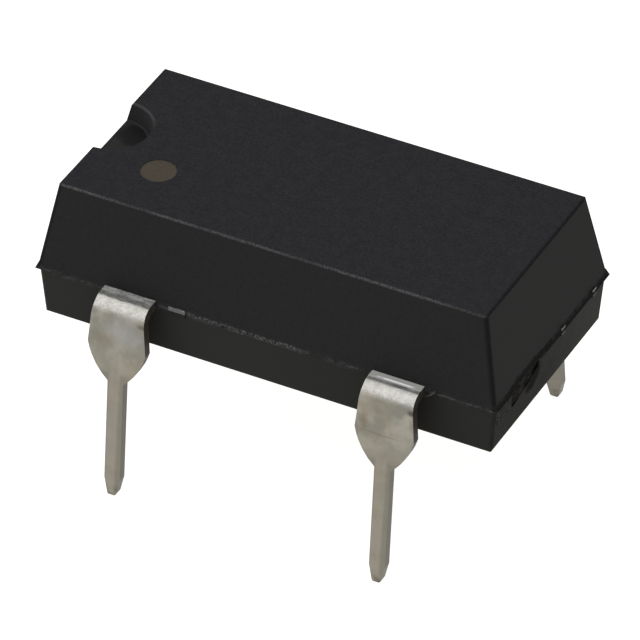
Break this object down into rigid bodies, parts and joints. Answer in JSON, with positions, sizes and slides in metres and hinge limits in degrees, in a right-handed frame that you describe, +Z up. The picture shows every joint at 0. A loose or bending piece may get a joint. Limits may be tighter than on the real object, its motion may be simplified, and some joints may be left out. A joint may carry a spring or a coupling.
{
  "type": "crystal oscillator",
  "caption": "Moulded half-size crystal oscillator: black epoxy body with a half-round end notch and folded tin-plated leads along both sides.",
  "frame": {"origin": "middle of the four lead tips, on the plane they stand on", "axes": "+X along the package away from the notched end, +Y across the package towards the rear lead row, +Z up from the lead tips to the top face"},
  "size_m": [0.0132, 0.0092, 0.008],
  "materials": {
    "moulding": "matte black moulded epoxy, finely grained, greyed at worn edges",
    "lead_frame": "dull tin plate with a warm grey tint and slight stains",
    "can_metal": "plated drawn metal, satin",
    "seal_glass": "dark green sealing glass",
    "quartz": "clear lapped quartz",
    "gold": "gold film and wire",
    "adhesive": "silver-filled epoxy",
    "silicon": "polished silicon"
  },
  "bodies": {
    "root": {"package_body": "moulding", "lead_1_enable": "lead_frame", "lead_4_ground": "lead_frame", "lead_5_output": "lead_frame", "lead_8_supply": "lead_frame", "crystal_pad_a": "lead_frame", "crystal_pad_b": "lead_frame", "crystal_can": "can_metal", "crystal_header_ring": "can_metal", "crystal_glass_seal": "seal_glass", "crystal_wire_a": "can_metal", "crystal_wire_b": "can_metal", "quartz_blank": "quartz", "electrode_top": "gold", "electrode_bottom": "gold", "adhesive_dab_a": "adhesive", "adhesive_dab_b": "adhesive", "circuit_die": "silicon", "die_attach": "adhesive", "bond_wire_enable": "gold", "bond_wire_supply": "gold", "bond_wire_output": "gold", "bond_wire_ground": "gold", "bond_wire_crystal_a": "gold", "bond_wire_crystal_b": "gold"}
  },
  "joints": []
}
